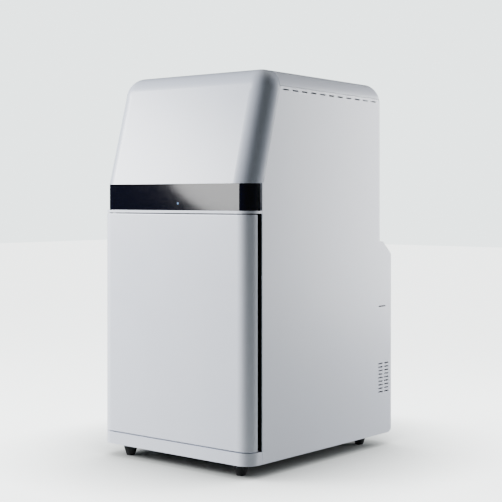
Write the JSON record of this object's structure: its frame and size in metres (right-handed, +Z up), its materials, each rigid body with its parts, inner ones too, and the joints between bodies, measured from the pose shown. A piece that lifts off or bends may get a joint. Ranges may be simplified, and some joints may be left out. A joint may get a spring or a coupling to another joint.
{
  "type": "plant in vivo imaging system",
  "caption": "Floor-standing dark-box imager with a tall front door, a smoked window band, a leaning hood, and a lifting stage under a camera with a filter wheel.",
  "frame": {"origin": "on the floor, at the middle of the width and of the depth", "axes": "+Z up, the door and window band face -Y, +X to the viewer's right as the viewer faces the door"},
  "size_m": [0.56, 0.69, 1.0972],
  "materials": {
    "cabinet_paint": "smooth cool-white powder coat, satin",
    "hood_paint": "smooth cool-white coat on a large moulded cover, satin",
    "chamber_black": "flat black light-absorbing paint",
    "smoked_pane": "smoked, near-black glossy pane with a light sweep",
    "black_plastic": "moulded black plastic, fine grain",
    "foot_rubber": "black rubber",
    "gasket_foam": "closed-cell black foam",
    "frame_steel": "grey powder coat",
    "zinc_steel": "zinc-plated steel",
    "bright_steel": "ground steel",
    "rail_aluminium": "plain extruded aluminium",
    "black_anodised": "black anodised, matt",
    "motor_steel": "black enamel",
    "nut_brass": "turned brass",
    "mat_rubber": "matt black sheet, low glow",
    "lens_glass": "coated optical glass",
    "filter_glass": "coloured interference filters",
    "lamp_diffuser": "opal diffuser",
    "light_pipe": "pale blue light pipe",
    "board_laminate": "green laminate with black components",
    "supply_case": "plain folded case with slots"
  },
  "bodies": {
    "cabinet": {"base_tray": "frame_steel", "front_plinth": "cabinet_paint", "side_panel_left": "cabinet_paint", "side_panel_right": "cabinet_paint", "top_cover": "cabinet_paint", "hood": "hood_paint", "band_glass": "smoked_pane", "band_carrier": "black_plastic", "band_sill": "cabinet_paint", "status_light": "light_pipe", "rear_upper_cover": "cabinet_paint", "rear_lower_cover": "cabinet_paint", "cover_screws": "zinc_steel", "fan_frames": "black_plastic", "power_inlet": "black_plastic", "data_ports": "zinc_steel", "frame_posts": "frame_steel", "frame_rails": "rail_aluminium", "equipment_deck": "frame_steel", "chamber_left_wall": "chamber_black", "chamber_right_wall": "chamber_black", "chamber_back_wall": "chamber_black", "chamber_floor": "chamber_black", "chamber_ceiling": "chamber_black", "chamber_front_frame": "chamber_black", "hinge_brackets": "zinc_steel", "door_magnets": "black_plastic", "guide_rods": "bright_steel", "lift_end_blocks": "black_anodised", "stage_motor": "motor_steel", "camera_stand": "black_anodised", "camera_housing": "black_anodised", "filter_housing": "black_anodised", "filter_lid": "black_anodised", "filter_motor": "motor_steel", "lens_barrel": "black_anodised", "lens_glass": "lens_glass", "lamp_bars": "black_anodised", "lamp_diffusers": "lamp_diffuser", "power_supply": "supply_case", "controller_board": "board_laminate", "feet": "foot_rubber"},
    "door": {"door_skin": "cabinet_paint", "door_liner": "chamber_black", "door_gasket": "gasket_foam", "hinge_blocks": "zinc_steel", "door_strikes": "zinc_steel"},
    "stage": {"stage_plate": "black_anodised", "stage_mat": "mat_rubber", "stage_carriage": "black_anodised", "linear_bushings": "bright_steel", "lead_nut": "nut_brass"},
    "lift_screw": {"lead_screw": "bright_steel"},
    "wheel": {"filter_wheel": "black_anodised", "wheel_filters": "filter_glass"},
    "rotor_left": {"fan_rotor_left": "black_plastic"},
    "rotor_right": {"fan_rotor_right": "black_plastic"},
    "rocker": {"power_switch": "black_plastic"},
    "focus": {"focus_ring": "black_anodised"}
  },
  "joints": [
    {"name": "door_swing", "type": "hinge", "parent": "cabinet", "child": "door", "pos_m": [-0.262, -0.321, 0.3875], "axis": [0, 0, -1], "range_deg": [0, 110]},
    {"name": "stage_lift", "type": "slide", "parent": "cabinet", "child": "stage", "axis": [0, 0, 1], "range_m": [0, 0.28]},
    {"name": "lead_screw_turn", "type": "hinge", "parent": "cabinet", "child": "lift_screw", "pos_m": [0, 0.16, 0.3], "axis": [0, 0, 1], "range_deg": [-12601, 0]},
    {"name": "filter_wheel_turn", "type": "hinge", "parent": "cabinet", "child": "wheel", "pos_m": [0, 0.013, 0.772], "axis": [0, 0, 1], "continuous": true},
    {"name": "fan_left_spin", "type": "hinge", "parent": "cabinet", "child": "rotor_left", "pos_m": [-0.075, 0.325, 0.33], "axis": [0, 1, 0], "continuous": true},
    {"name": "fan_right_spin", "type": "hinge", "parent": "cabinet", "child": "rotor_right", "pos_m": [0.075, 0.325, 0.33], "axis": [0, 1, 0], "continuous": true},
    {"name": "power_rocker", "type": "hinge", "parent": "cabinet", "child": "rocker", "pos_m": [0.17, 0.336, 0.158], "axis": [-1, 0, 0], "range_deg": [0, 14]},
    {"name": "focus_ring_turn", "type": "hinge", "parent": "cabinet", "child": "focus", "pos_m": [0, -0.065, 0.727], "axis": [0, 0, 1], "range_deg": [0, 120]}
  ],
  "couplings": [
    {"joint": "lead_screw_turn", "follows": "stage_lift", "rad_per_m": -785.4}
  ]
}
